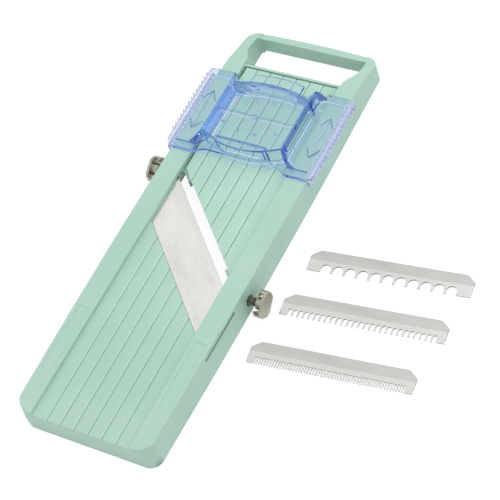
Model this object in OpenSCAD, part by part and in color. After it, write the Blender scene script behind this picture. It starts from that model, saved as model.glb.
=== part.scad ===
// Hand-held vegetable slicer with a diagonal blade, an adjustable ramp, a sliding
// hand guard and three loose comb blades. Millimetres, +Z up, +Y towards the handle.
// The origin is on the floor, in the middle of the foot of the front wall.

/* [Body] */
// Overall length of the green body
body_len = 290.5; // [260:0.5:320]
// Width of the body at its two ends
end_w = 89.2; // [80:0.1:100]
// How far each long side swells outwards at mid length
side_bow = 1.55; // [0:0.05:3]
// Height of the rails above the floor
body_h = 19; // [16:0.5:26]
// Corner radius in plan at the landing end, at the floor
front_r = 7.5; // [5:0.5:15]
// The same corner at the height of the rail tops
front_top_r = 10.6; // [5:0.1:15]
// Corner radius in plan at the handle end
back_r = 7.5; // [5:0.5:18]
// How far the handle end bulges outwards
back_bow = 1.1; // [0:0.1:4]
// Width of the channel between the rails
channel_w = 65.2; // [60:0.1:72]
// Height of the landing that carries the food off the blade
landing_z = 16.4; // [13:0.1:18]
// Thickness of the outer and inner rail walls
wall = 2.2; // [1.6:0.1:3.5]
// Thickness of the landing and rail tops
skin = 2.4; // [1.6:0.1:3.5]

/* [Grooves] */
// Number of grooves in the landing and in the ramp
groove_count = 6; // [2:1:10]
// Distance between neighbouring grooves
groove_pitch = 9.14; // [6:0.01:12]
// Depth of a groove
groove_depth = 0.9; // [0.2:0.05:1.2]

/* [Blade and throat] */
// Angle of the cutting edge away from square across the body
diag_angle = 43.9; // [30:0.1:50]
// Width of the blade from edge to back
blade_w = 24.05; // [15:0.05:35]
// Thickness of the blade
blade_t = 1.15; // [0.8:0.05:2]
// Width of the ground bevel at the cutting edge
bevel_w = 3.2; // [1:0.1:5]
// Gap between cutting edge and ramp, measured square to the edge
throat = 6.1; // [4:0.1:10]

/* [Ramp] */
// Width of the ramp plate
ramp_w = 62.4; // [58:0.1:70]
// Thickness of the ramp plate
ramp_t = 3; // [2:0.1:5]
// Height of the ramp's top face above its hinge end
ramp_top = 16.7; // [14:0.1:18]
// Downward tilt of the ramp as set, a thin slice
ramp_tilt = 0.4; // [0:0.05:2]

/* [Handle] */
// Length of the finger opening along the body
grip_gap = 23.5; // [15:0.5:30]
// How far each side of the finger opening flares outwards
grip_flare = 4.8; // [0:0.1:6]
// Fall of the rail tops towards the handle end, in degrees
handle_fall = 11.5; // [0:0.5:20]
// Gap between the floor and the cross bar
bar_lift = 2.5; // [1:0.1:8]

/* [Clamp screws] */
// Height of the clamp screws above the floor
clamp_z = 8; // [6:0.1:9]
// Distance of the right and the left clamp screw from the middle of the rails
clamp_y = [31.8, 34.8];
// Thread diameter of the clamp and adjusting screws
thread_d = 5; // [4:1:6]
// Long and short measure of a clamp knob
knob_size = [15.9, 11];
// Depth of a clamp knob along its screw
knob_t = 5.6; // [3:0.1:8]

/* [Hand guard] */
// Width across the guard's wings
guard_w = 99.8; // [96:0.1:106]
// Length of the guard's wings along the body
guard_len = 61.3; // [50:0.1:75]
// Height of the raised rim round each finger well above the floor
guard_rim_z = 21.7; // [21:0.1:25]
// Top of the raised block above the floor
guard_block_z = 30; // [26:0.1:36]
// Wall thickness of the guard
guard_t = 1.5; // [1:0.1:2.5]

/* [Combs] */
// Length of a comb blade
comb_len = 97.8; // [90:0.1:105]
// Depth of a comb blade from tooth tips to back
comb_w = 13.9; // [10:0.1:18]
// Thickness of a comb blade
comb_t = 1; // [0.6:0.1:1.5]

/* [Hidden] */
$fn = 40;

green = [0.66, 0.84, 0.76];
steel = [0.80, 0.80, 0.78];
dark_steel = [0.45, 0.45, 0.45];
nickel = [0.72, 0.71, 0.64];
brass = [0.78, 0.66, 0.36];
blue = [0.45, 0.60, 0.85, 0.5];

eps = 0.01;
fit = 0.05;               // radial clearance of a running fit
foot_w = 3;               // thickness of the front wall, whose foot holds the origin
front_y = -143;           // front wall, seen from the middle of the rails
back_y = front_y + body_len;
mid_y = -front_y - foot_w / 2;       // middle of the rails, seen from the origin
half_w = end_w / 2;
half_c = channel_w / 2;
bow_half = 130;           // half length of the swollen part of each side
bow_steps = 13;           // flat strips that make up each half of it

hinge_y = 113;            // hinge axis, from the middle of the body
hinge_z = 12.6;
rod_d = 3;
rod_half = 36;
ramp_groove_x = -0.6;     // the ramp's grooves lie a little left of the landing's
ramp_end = 116.1;         // hinge end of the ramp plate
web_y0 = 116.9;           // thin cross web in front of the finger opening
web_y1 = 118.5;
web_top = 17;
fall_y = 116.5;           // the rail tops start to fall here
bar_y = web_y1 + grip_gap;           // inner face of the cross bar

edge_y = -2.3;            // cutting edge where it crosses the middle line
shelf_lip = 3;            // the edge overhangs its shelf by this much
shelf_z = landing_z - blade_t - 0.05;
shelf_t = 3.8;
slot_x = 42.2;            // inner face of the rails' outer walls

adj_y = 50;               // adjusting screw, from the middle of the body
boss_z = 10.4;            // foot of the boss that holds the nut
nut_d = 9.24;             // across the corners
nut_h = 3.3;
strap_z = 4.5;
strap_t = 1.5;
strap_w = 14;
strap_half = 40.4;
screw_x = 38;

knob_x = 51.6;            // rail side of a clamp knob, from the middle of the body

label_x = [35.5, 42.6];   // blank label panels on the rail tops
label_y = [-115, -71.5];

guard_y = 76.4;           // middle of the guard as parked near the handle
guard_z = body_h + 0.1;
skirt_z = 15.2;
block_x = 27.6;
front_arc = 54.5;         // radii of the block's bulging front and back, and where their
front_dip = -26.9;        // lowest and highest points lie from the middle of the guard
back_arc = 82;
back_tip = 22.4;

comb_angle = 6.5;
comb_spots = [[63.5, 1.4], [62.1, -30.5], [58.6, -65.0]];

function clamp_at(s) = s > 0 ? -clamp_y[0] : clamp_y[1];

// Smooth step from 0 to 1, used for the S-curves of the handle and the guard.
function ease(t) = let (u = min(1, max(0, t))) u * u * (3 - 2 * u);

// Everything is drawn about the middle of the rails and set down on the origin here.
module placed() { translate([0, mid_y, 0]) children(); }

// Frame of the cutting edge: X along the edge, Y towards the ramp, origin on the middle line.
module along_edge() { translate([0, edge_y, 0]) rotate([0, 0, -diag_angle]) children(); }

module box(x0, x1, y0, y1, z0, z1) {
    translate([x0, y0, z0]) cube([x1 - x0, y1 - y0, z1 - z0]);
}

module mirrored() { children(); mirror([1, 0, 0]) children(); }

// Extrude a plan between two heights.
module raised(z0, z1) { translate([0, 0, z0]) linear_extrude(z1 - z0) children(); }

// ---------------------------------------------------------------- body

// Plan outline: a rectangle with round corners, two slightly swollen long sides and a
// slightly bulging handle end.
module outline() {
    end_y = back_y - back_bow;
    flat_x = half_w - back_r;
    translate([-half_w, front_y + front_r]) square([end_w, end_y - back_r - front_y - front_r]);
    translate([-half_w + front_r, front_y]) square([end_w - 2 * front_r, -front_y]);
    translate([-flat_x, 0]) square([2 * flat_x, end_y]);
    polygon([for (i = [-8 : 8]) [i / 8 * flat_x, end_y + back_bow * (1 - pow(i / 8, 2))]]);
    for (s = [-1, 1]) {
        translate([s * (half_w - front_r), front_y + front_r]) circle(front_r, $fn = 64);
        translate([s * flat_x, end_y - back_r]) circle(back_r, $fn = 64);
        polygon([for (i = [-bow_steps : bow_steps]) [s * (half_w + side_bow * (1 - pow(i / bow_steps, 2))),
            i / bow_steps * bow_half], [0, bow_half], [0, -bow_half]]);
    }
}

// What the front corners lose as they get rounder towards the rail tops.
module corner_taper() {
    r = front_top_r;
    spread = (r - front_r) * (sqrt(2) - 1) + 0.6;   // how much wider the cone is at the floor
    slope = spread / body_h;
    mirrored() translate([half_w - r + 0.1, front_y + r - 0.1, -1]) difference() {
        box(0, r + 4, -r - 4, 0, 0, body_h + 2);
        cylinder(r1 = r + spread + slope, r2 = r - slope, h = body_h + 2);
    }
}

// Finger opening: as wide as the channel at the web, then flaring in an S towards the bar.
module grip_outline() {
    steps = 12;
    tip = 1;              // cut corners at the bar
    start = half_c + 0.7;
    side = [for (i = [0 : steps]) let (y = web_y1 + (grip_gap - tip) * i / steps)
        [start + grip_flare * ease((y - web_y1 - 1.5) / 12), y]];
    end = start + grip_flare - tip;
    polygon(concat(side, [[end, bar_y], [-end, bar_y]],
        [for (i = [steps : -1 : 0]) [-side[i][0], side[i][1]]]));
}

// Everything above the falling rail tops, or above a plane drop below them.
module over_handle(half_x, y0, drop = 0) {
    y1 = back_y + 5;
    function top(y) = body_h - drop - (y - fall_y) * tan(handle_fall);
    translate([-half_x, 0, 0]) rotate([90, 0, 90]) linear_extrude(2 * half_x)
        polygon([[y0, top(y0)], [y1, top(y1)], [y1, body_h + 2], [y0, body_h + 2]]);
}

// One saw-tooth groove per place: a gentle slope on the left ends in a narrow slot.
module grooves(y0, y1, top, count = groove_count) {
    slot = 0.35;
    for (i = [0 : count - 1])
        translate([(i - (count - 1) / 2) * groove_pitch, y1, top])
            rotate([90, 0, 0]) linear_extrude(y1 - y0)
                polygon([[-1.6, 0.02], [slot + 0.05, 0.02], [slot, -groove_depth],
                    [-slot, -groove_depth], [-slot, -0.25]]);
}

// Hollows under the rails, one each side, crossed by thin ribs.
module rail_hollows() {
    stops = [-135, -108, -84, -56, -22];
    back_stops = [-22, -10, 24, 41, 60, 84, 107];
    rib = 1.6;
    mirrored() for (list = [stops, back_stops]) for (i = [0 : len(list) - 2])
        box(half_c + wall, slot_x, list[i] + rib / 2, list[i + 1] - rib / 2, -1, body_h - skin);
}

// The comb's own outline as a slot, standing in the throat as it does in use.
module comb_slots() {
    lean = 86;
    along_edge() translate([0, 2.2, landing_z - 0.4]) rotate([-lean, 0, 0])
        box(-comb_len / 2 - 0.6, comb_len / 2 + 0.6, 0, comb_w + 0.6, -0.7, 0.7);
}

module body_frame() color(green) placed() difference() {
    union() {
        difference() {
            linear_extrude(body_h) outline();
            // channel over the landing, the blade and the ramp
            box(-half_c, half_c, front_y - 1, web_y0, landing_z, body_h + 1);
            // open well under the ramp and the throat
            intersection() {
                box(-half_c, half_c, front_y, web_y0, -1, body_h);
                along_edge() box(-200, 200, -shelf_lip, 190, -2, body_h + 1);
            }
            // hollow under the landing, up to the blade's shelf
            intersection() {
                box(-half_c, half_c, front_y + foot_w, 60, -1, landing_z - skin);
                along_edge() box(-200, 200, -200, -blade_w - 3, -2, body_h);
            }
            // lower underside of the shelf
            intersection() {
                box(-half_c, half_c, front_y + foot_w, 60, -1, shelf_z - shelf_t);
                along_edge() box(-200, 200, -blade_w - 4, 0, -2, body_h);
            }
            rail_hollows();
            corner_taper();
            translate([0, 0, -1]) linear_extrude(body_h + 2) grip_outline();
            // web and bar levels
            box(-half_c - 0.6, half_c + 0.6, web_y0 - 1, web_y1 + 1, web_top, body_h + 1);
            box(-half_c, half_c, web_y0 - 1, web_y1 + 1, -1, 3);
            over_handle(half_w + side_bow, fall_y);
            over_handle(half_c + 3.8, bar_y - 1, 0.6);
            box(-half_c - 3.8, half_c + 3.8, bar_y - 1, back_y + 1, -1, bar_lift);
        }
        // long ribs under the landing
        intersection() {
            for (x = [-10.7, 10.7]) box(x - 0.8, x + 0.8, front_y + 1, 30, 6, landing_z - 1);
            along_edge() box(-200, 200, -200, -blade_w, 0, body_h);
        }
        // stiffening rib along the front of the blade's shelf
        intersection() {
            box(-half_c - 0.5, half_c + 0.5, front_y + foot_w, 60, 4, shelf_z - 1);
            along_edge() union() {
                box(-60, 60, -blade_w - 3, -blade_w - 1.2, 4, shelf_z - 1);
                box(-60, 60, -shelf_lip - 2.2, -shelf_lip, 8, shelf_z - 1);
            }
        }
        // bosses for the blade's screws
        along_edge() for (x = [-20, 20]) translate([x, -blade_w / 2, 7.4]) cylinder(d = 8, h = shelf_z - 8.4);
        // solid blocks round the clamp screws
        for (s = [-1, 1]) translate([0, clamp_at(s), 0])
            box(s > 0 ? half_c : -slot_x - 1, s > 0 ? slot_x + 1 : -half_c, -9, 9, 1, body_h - 1);
        // bosses for the adjuster bracket
        mirrored() box(half_c + wall - 1, slot_x + 1, adj_y - 5, adj_y + 5, strap_z + strap_t, body_h - 1);
        // lugs that back the combs at both ends of the throat
        intersection() {
            along_edge() for (x = [-46.3, 37]) box(x - 5.6, x + 5.6, 4.2, 5.8, 8.6, 13.8);
            box(-half_c - 1, half_c + 1, -60, 60, 0, body_h);
        }
    }
    // seat of the blade, with a taller slit through the right-hand rail to push it in
    intersection() {
        union() {
            box(-half_c - 1.9, half_c + 2, front_y, 60, shelf_z, landing_z + 0.1);
            box(half_c + 1.9, half_w + 5, front_y, 60, shelf_z - 0.3, shelf_z + 1.8);
        }
        along_edge() box(-200, 200, -blade_w - 0.15, 0.15, 0, body_h);
    }
    mirrored() box(label_x[0], label_x[1], label_y[0], label_y[1], body_h - 0.2, body_h + 1);
    box(-half_c, half_c, -60, 60, landing_z, body_h + 1);
    along_edge() for (x = [-20, 20]) translate([x, -blade_w / 2, 0]) cylinder(d = 3 + eps, h = body_h - 1);
    intersection() {
        comb_slots();
        box(-half_c - 5, half_c + 5, -60, 60, 0.6, landing_z - 0.4);
    }
    // clamp screw holes: clear through the outer wall, then the insert, then clear to the slot
    for (s = [-1, 1]) translate([0, clamp_at(s), clamp_z]) rotate([0, s * 90, 0]) {
        translate([0, 0, half_c - 1]) cylinder(d = thread_d + 0.4, h = 20);
        translate([0, 0, slot_x - 5]) cylinder(d = 7, h = 20);
    }
    // hinge rod and bracket screw holes, and the notches for the bracket
    translate([-rod_half, hinge_y, hinge_z]) rotate([0, 90, 0]) cylinder(d = rod_d + eps, h = 2 * rod_half);
    mirrored() {
        translate([screw_x, adj_y, 0]) cylinder(d = 3 + eps, h = 14);
        translate([0, adj_y, 0])
            box(half_c - 1, strap_half + 0.4, -strap_w / 2 - 0.3, strap_w / 2 + 0.3, -1, strap_z + strap_t);
    }
    intersection() {
        grooves(front_y - 1, 30, landing_z);
        along_edge() box(-200, 200, -200, -blade_w, 0, body_h);
    }
}

// ---------------------------------------------------------------- ramp

// The ramp is drawn level about its hinge and tilted down to its setting.
module on_ramp() {
    placed() translate([0, hinge_y, hinge_z]) rotate([ramp_tilt, 0, 0]) translate([0, -hinge_y, -hinge_z])
        children();
}

module ramp_plate() color(green) on_ramp() difference() {
    union() {
        intersection() {
            box(-ramp_w / 2, ramp_w / 2, -60, ramp_end, ramp_top - ramp_t, ramp_top);
            along_edge() box(-200, 200, throat, 200, 0, body_h);
        }
        // long ribs and a cross rib under the plate
        intersection() {
            union() {
                for (x = [-24, -12, 12, 24])
                    box(x - 0.75, x + 0.75, -60, 108, ramp_top - ramp_t - 2, ramp_top - 1);
                box(-ramp_w / 2 + 1, ramp_w / 2 - 1, 84, 85.6, ramp_top - ramp_t - 2, ramp_top - 1);
            }
            along_edge() box(-200, 200, throat + 5, 200, 0, body_h);
        }
        // hinge knuckles
        for (x = [-30, -6, 18]) translate([x, hinge_y, hinge_z]) rotate([0, 90, 0]) cylinder(d = 6.2, h = 12);
        // boss that holds the nut
        translate([0, adj_y, boss_z]) cylinder(d = 14, h = ramp_top - 1 - boss_z);
    }
    // chamfer under the free edge
    along_edge() translate([0, throat, ramp_top - ramp_t]) rotate([45, 0, 0])
        cube([190, 2.4, 2.4], center = true);
    translate([-40, hinge_y, hinge_z]) rotate([0, 90, 0]) cylinder(d = rod_d + 2 * fit, h = 80);
    // pocket of the nut and blind hole over the screw
    translate([0, adj_y, boss_z - 1]) cylinder(d = nut_d + eps, h = nut_h + 1.1, $fn = 6);
    translate([0, adj_y, boss_z - 1]) cylinder(d = thread_d + 1.2, h = 5.7);
    translate([ramp_groove_x, 0, 0]) grooves(-60, ramp_end + 1, ramp_top);
}

module ramp_nut() color(brass) on_ramp() translate([0, adj_y, boss_z + 0.05]) difference() {
    cylinder(d = nut_d, h = nut_h, $fn = 6);
    translate([0, 0, -1]) cylinder(d = thread_d + 0.5, h = 6);
}

module hinge_rod() color(dark_steel) placed()
    translate([-rod_half, hinge_y, hinge_z]) rotate([0, 90, 0]) cylinder(d = rod_d, h = 2 * rod_half);

// ---------------------------------------------------------------- blade

module main_blade() color(steel) placed() intersection() {
    along_edge() rotate([90, 0, 90]) translate([0, 0, -90]) linear_extrude(180)
        polygon([[-0.2, shelf_z + 0.25], [0, shelf_z + 0.3], [-bevel_w, shelf_z + blade_t],
            [-blade_w, shelf_z + blade_t], [-blade_w, shelf_z], [-1.2, shelf_z]]);
    box(-half_c - 1.7, 40, -90, 60, 0, body_h);
}

// Two small screws press the blade against its slots from below.
module blade_screws() color(dark_steel) placed() along_edge() for (x = [-20, 20])
    translate([x, -blade_w / 2, 0]) difference() {
        union() {
            translate([0, 0, 5.4]) cylinder(d = 5.6, h = 2);
            translate([0, 0, 7]) cylinder(d = 3, h = shelf_z - 7);
        }
        for (a = [0, 90]) translate([0, 0, 5.4]) rotate([0, 0, a]) cube([3.4, 0.7, 2], center = true);
    }

// ---------------------------------------------------------------- clamp screws

// s is +1 for the right-hand screw near the landing, -1 for the left-hand one near the ramp.
module at_clamp(s) { placed() translate([0, clamp_at(s), clamp_z]) rotate([0, s * 90, 0]) children(); }

module clamp_inserts() color(brass) for (s = [-1, 1]) at_clamp(s)
    translate([0, 0, slot_x - 5]) difference() {
        cylinder(d = 7, h = 5);
        translate([0, 0, -1]) cylinder(d = thread_d + 2 * fit, h = 7);
    }

module clamp_spindle(s) color(dark_steel) at_clamp(s) {
    translate([0, 0, 37]) cylinder(d = thread_d, h = 18);
    translate([0, 0, 36.2]) cylinder(d1 = thread_d - 1.6, d2 = thread_d, h = 0.8);
}

// Long octagon, half measures a and b, corners cut by c.
module octagon(a, b, c) {
    polygon([for (s = [1, -1]) each [[s * (a - c), s * b], [s * a, s * (b - c)],
        [s * a, s * (c - b)], [s * (a - c), -s * b]]]);
}

// Cast knob: an outer plate whose two ends turn in towards the rail, round a hub.
module clamp_knob(s, turn) color(nickel) at_clamp(s) rotate([0, 0, turn]) translate([0, 0, knob_x])
    difference() {
        a = knob_size[0] / 2;
        b = knob_size[1] / 2;
        wall_t = 1.5;
        lip_t = 1.2;
        lip = 3.4;            // reach of the turned-in ends
        union() {
            difference() {
                intersection() {
                    linear_extrude(knob_t) intersection() { octagon(a, b, 3.4); circle(a); }
                    cylinder(r1 = a + 4.2, r2 = a - 0.6, h = knob_t);
                }
                box(wall_t - a, a - wall_t, -b, b, lip_t, knob_t - 1.7);
                box(lip - a, a - lip, -b, b, -1, lip_t + 0.1);
            }
            cylinder(d = 7.6, h = knob_t - 1);
        }
        translate([0, 0, -1]) cylinder(d = thread_d + 2 * fit, h = 4.4);
    }

module left_clamp_spindle() clamp_spindle(-1);
module right_clamp_spindle() clamp_spindle(1);
module left_clamp_knob() clamp_knob(-1, 64);
module right_clamp_knob() clamp_knob(1, 127);

// ---------------------------------------------------------------- ramp adjuster

module adjuster_bracket() color(steel) placed() difference() {
    box(-strap_half, strap_half, adj_y - strap_w / 2, adj_y + strap_w / 2, strap_z, strap_z + strap_t);
    translate([0, adj_y, 0]) cylinder(d = thread_d + 2 * fit, h = 20);
    for (s = [-1, 1]) translate([s * screw_x, adj_y, 0]) cylinder(d = 3 + eps, h = 20);
}

module bracket_screws() color(dark_steel) placed() for (s = [-1, 1]) translate([s * screw_x, adj_y, 0])
    difference() {
        union() {
            translate([0, 0, strap_z - 2]) cylinder(d = 5.6, h = 2);
            translate([0, 0, strap_z - 1]) cylinder(d = 3, h = 9.4);
        }
        for (a = [0, 90]) translate([0, 0, strap_z - 2]) rotate([0, 0, a]) cube([3.4, 0.7, 2], center = true);
    }

module adjuster_spindle() color(dark_steel) placed() translate([0, adj_y, 0]) difference() {
    translate([0, 0, 1.6]) cylinder(d = thread_d, h = 10);
    // groove of the retaining clip
    translate([0, 0, 6.25]) difference() {
        cylinder(d = thread_d + 2, h = 0.8);
        translate([0, 0, -1]) cylinder(d = thread_d - 1, h = 3);
    }
}

module adjuster_knob() color(nickel) placed() translate([0, adj_y, 0]) difference() {
    translate([0, 0, 0.9]) cylinder(d = 19, h = 3);
    for (i = [0 : 19]) rotate([0, 0, 18 * i]) translate([10, 0, 0]) cylinder(r = 1.1, h = 5, $fn = 20);
    translate([0, 0, 1.6]) cylinder(d = thread_d, h = 5);
}

module adjuster_washer() color(steel) placed() translate([0, adj_y, 3.9]) difference() {
    cylinder(d = 9, h = 0.5);
    translate([0, 0, -1]) cylinder(d = thread_d + 0.1, h = 3);
}

module adjuster_clip() color(dark_steel) placed() translate([0, adj_y, 6.3]) difference() {
    cylinder(d = 9, h = 0.7);
    translate([0, 0, -1]) cylinder(d = thread_d - 0.9, h = 3);
    translate([0, -thread_d / 2 + 0.5, -1]) cube([12, thread_d - 1, 3]);
}

// ---------------------------------------------------------------- hand guard

// Plan of the raised block: straight sides, bulging front and back.
module block_outline(inset = 0) {
    intersection() {
        translate([-block_x + inset, -40]) square([2 * (block_x - inset), 80]);
        translate([0, front_arc + front_dip + inset]) circle(front_arc, $fn = 180);
        translate([0, back_tip - back_arc - inset]) circle(back_arc, $fn = 180);
    }
}

// Plan of the whole guard: two wings with round corners, stepped back in the middle.
module guard_outline() {
    x1 = guard_w / 2;
    y1 = guard_len / 2;
    step = 4.1;
    front_corner = 5;
    back_corner = 3;
    difference() {
        union() {
            translate([-x1, front_corner - y1]) square([2 * x1, 2 * y1 - front_corner - back_corner]);
            translate([front_corner - x1, -y1]) square([2 * (x1 - front_corner), y1]);
            translate([back_corner - x1, 0]) square([2 * (x1 - back_corner), y1]);
            for (s = [-1, 1]) {
                translate([s * (x1 - front_corner), front_corner - y1]) circle(front_corner);
                translate([s * (x1 - back_corner), y1 - back_corner]) circle(back_corner);
            }
        }
        for (m = [0, 1]) mirror([0, m]) polygon(concat(
            [for (i = [-8 : 0]) [-24 + 9 * i / 8, -y1 + step * ease(1 + i / 8)]],
            [for (i = [0 : 8]) [24 + 9 * i / 8, -y1 + step * ease(1 - i / 8)]],
            [[33, -y1 - 1], [-33, -y1 - 1]]));
    }
}

// Double-headed arrow cut along Y, length l.
module arrow(l) {
    w = 0.7;
    box(-w / 2, w / 2, -l / 2, l / 2, 0, 1);
    for (e = [0, 180]) rotate([0, 0, e]) translate([0, l / 2, 0.5])
        for (a = [-32, 32]) rotate([0, 0, a]) translate([0, -4, 0]) cube([w, 8, 1], center = true);
}

// Round inner corner of a finger well: a quarter of a ring wall with inner radius r, whose
// top falls from the block's top at the side of the block to the rim at its other end.
// foot is where the slope meets the rim, measured from the middle of the guard.
module well_corner(y, r, foot) intersection() {
    translate([block_x + r, y, guard_z]) linear_extrude(guard_block_z - guard_z) difference() {
        intersection() { circle(r + guard_t); translate([-r - guard_t, -r - guard_t]) square(r + guard_t); }
        circle(r);
    }
    rotate([90, 0, 0]) linear_extrude(100, center = true) polygon([[20, 0], [foot, 0],
        [foot, guard_rim_z - 0.3], [block_x, guard_block_z], [20, guard_block_z]]);
}

module hand_guard() color(blue) placed() translate([0, guard_y, 0]) {
    half = guard_len / 2;
    well_x = 45;          // outer side of a finger well
    well_y = [-25.1, 25.7];
    floor_z = guard_z + 1.4;
    side_t = 2;           // thickness of the block's side walls
    notch_y = -22.2;      // front wall of the block behind the notch under its deck
    difference() {
        union() {
            raised(guard_z, floor_z) guard_outline();
            difference() {
                raised(guard_z, guard_rim_z) guard_outline();
                box(-well_x, well_x, well_y[0], well_y[1], guard_z, guard_rim_z + 1);
                box(-31, 31, -half, half, floor_z, guard_rim_z + 1);
            }
            raised(guard_z - 1.9, guard_block_z) block_outline();
            mirrored() box(block_x - side_t, block_x, -19, 21.4, guard_z, guard_block_z);
            // finger tab at the back of the block
            intersection() {
                translate([0, 8.1, 0]) linear_extrude(guard_block_z) block_outline();
                box(-17, 17, 10, half, guard_block_z - 4.5, guard_block_z - 3);
            }
        }
        intersection() {
            raised(guard_z - 3, guard_block_z - guard_t) block_outline(guard_t);
            box(side_t - block_x, block_x - side_t, -40, 40, 0, 40);
        }
        // notch in the front of the block, under its deck
        box(-16, 16, front_dip - 1, notch_y, floor_z, guard_block_z - guard_t);
        mirrored() translate([40.1, 0.1, floor_z - 0.5]) arrow(30);
    }
    box(-16.8, 16.8, notch_y, notch_y + guard_t, guard_z - 1.9, guard_block_z - 1);
    mirrored() {
        // skirt beside the rail, round ribs over the wing's edge, corners of the well
        box(46.8, 48.3, -half, half - 3, skirt_z, guard_z + 1);
        for (i = [-6 : 7]) translate([well_x + 0.2, 2 + i * 3.35, guard_rim_z - 0.5])
            rotate([0, 90, 0]) cylinder(r = 0.9, h = 5.7, $fn = 16);
        well_corner(well_y[0] + 9, 9, block_x + 9.2);
        mirror([0, 1, 0]) well_corner(-well_y[1] + 4.5, 4.5, block_x + 5);
    }
    // dividing rib with a round pip, and the food spikes under the deck
    box(-block_x + 1, block_x - 1, -2.5, -1.1, guard_z + 3, guard_block_z - 1);
    translate([0, -1.8, guard_z + 5]) cylinder(d = 3.2, h = guard_block_z - guard_z - 6);
    for (x = [-18, -6, 6, 18], y = [-13, 12])
        translate([x, y + (abs(x) > 10 ? 3 : -1), guard_z + 4])
            cylinder(r1 = 0.3, r2 = 0.9, h = guard_block_z - guard_z - 5, $fn = 16);
}

// ---------------------------------------------------------------- combs

// Plate with two cut rear corners and a tooth band ground thin towards the tips.
module comb_plate() {
    cut = [5.2, 4.2];
    difference() {
        linear_extrude(comb_t) polygon([[0, 0], [comb_len, 0], [comb_len, comb_w - cut[1]],
            [comb_len - cut[0], comb_w], [cut[0], comb_w], [0, comb_w - cut[1]]]);
        rotate([90, 0, 90]) translate([0, 0, -1]) linear_extrude(comb_len + 2)
            polygon([[-1, comb_t + 0.1], [-1, 0.35], [0, 0.4], [7.2, comb_t], [7.2, comb_t + 0.1]]);
    }
}

// count gaps of width w and depth d, the far end round or square.
module comb(count, pitch, w, d, round_end, spot) {
    first = (comb_len - (count - 1) * pitch) / 2;
    placed() translate([spot[0], spot[1], 0]) rotate([0, 0, comb_angle]) difference() {
        comb_plate();
        for (i = [0 : count - 1]) translate([first + i * pitch, 0, -1]) {
            if (round_end) {
                translate([-w / 2, -1, 0]) cube([w, d - w / 2 + 1, 4]);
                translate([0, d - w / 2, 0]) cylinder(d = w, h = 4, $fn = w > 4 ? 32 : 16);
            } else translate([-w / 2, -1, 0]) cube([w, d + 1, 4]);
        }
    }
}

module coarse_comb() color(steel) comb(11, 7.5, 6.1, 5.2, true, comb_spots[0]);
module medium_comb() color(steel) comb(27, 3.3, 2.3, 4.1, true, comb_spots[1]);
module fine_comb() color(steel) comb(55, 1.62, 0.85, 4.1, false, comb_spots[2]);

body_frame();
ramp_plate();
hinge_rod();
main_blade();
blade_screws();
clamp_inserts();
left_clamp_spindle();
left_clamp_knob();
right_clamp_spindle();
right_clamp_knob();
adjuster_bracket();
bracket_screws();
adjuster_spindle();
adjuster_knob();
adjuster_clip();
adjuster_washer();
ramp_nut();
hand_guard();
coarse_comb();
medium_comb();
fine_comb();
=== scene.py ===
"""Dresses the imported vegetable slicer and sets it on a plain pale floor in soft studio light.

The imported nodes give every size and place. Sizes here are in millimetres from the origin of
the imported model, on the floor in the middle of the foot of the front wall. The surface
finishes come first, then the sub-assemblies from the body outwards, then the studio.
"""

import logging
import math
from collections.abc import Callable, Sequence
from dataclasses import dataclass, field
from enum import Enum

import bmesh
import bpy
from mathutils import Matrix, Vector


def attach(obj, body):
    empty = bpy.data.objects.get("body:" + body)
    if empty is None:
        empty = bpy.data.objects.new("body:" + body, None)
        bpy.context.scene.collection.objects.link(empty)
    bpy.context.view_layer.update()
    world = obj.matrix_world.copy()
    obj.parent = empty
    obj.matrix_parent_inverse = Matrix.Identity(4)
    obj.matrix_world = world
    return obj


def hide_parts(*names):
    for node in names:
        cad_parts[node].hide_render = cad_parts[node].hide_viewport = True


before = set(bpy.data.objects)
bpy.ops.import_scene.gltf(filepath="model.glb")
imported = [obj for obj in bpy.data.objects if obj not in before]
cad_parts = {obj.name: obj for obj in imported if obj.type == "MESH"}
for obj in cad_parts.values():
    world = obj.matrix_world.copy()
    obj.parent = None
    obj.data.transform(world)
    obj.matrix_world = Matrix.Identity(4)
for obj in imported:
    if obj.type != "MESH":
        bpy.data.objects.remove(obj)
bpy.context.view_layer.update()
LOG = logging.getLogger("slicer")
MM = 0.001
MERGE_MM = 0.001

Socket = bpy.types.NodeSocket
EdgeTest = Callable[[bmesh.types.BMEdge], bool]


def linear(hex_colour: str) -> tuple[float, float, float, float]:
    """Turns an sRGB hex colour into linear red, green, blue and full alpha.

    Args:
        hex_colour: six hex digits, such as "B2D3C3".

    Returns:
        The colour as a shader socket wants it.
    """
    channels = [int(hex_colour[i : i + 2], 16) / 255 for i in (0, 2, 4)]
    red, green, blue = (c / 12.92 if c <= 0.04045 else ((c + 0.055) / 1.055) ** 2.4 for c in channels)
    return red, green, blue, 1.0


def add_node(
    tree: bpy.types.NodeTree,
    kind: str,
    settings: dict[str, object] | None = None,
    links: dict[str | int, object] | None = None,
) -> bpy.types.Node:
    """Adds one shader node with its settings, values and links.

    Args:
        tree: the node tree that gets the node.
        kind: the node's type, without the "ShaderNode" in front.
        settings: the node's own properties, such as operation or noise dimensions.
        links: for each input, by name or number, either a constant or another node's output.

    Returns:
        The new node.
    """
    node = tree.nodes.new("ShaderNode" + kind)
    for name, value in (settings or {}).items():
        setattr(node, name, value)
    for name, value in (links or {}).items():
        if isinstance(value, Socket):
            tree.links.new(value, node.inputs[name])
        else:
            node.inputs[name].default_value = value
    return node


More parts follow.
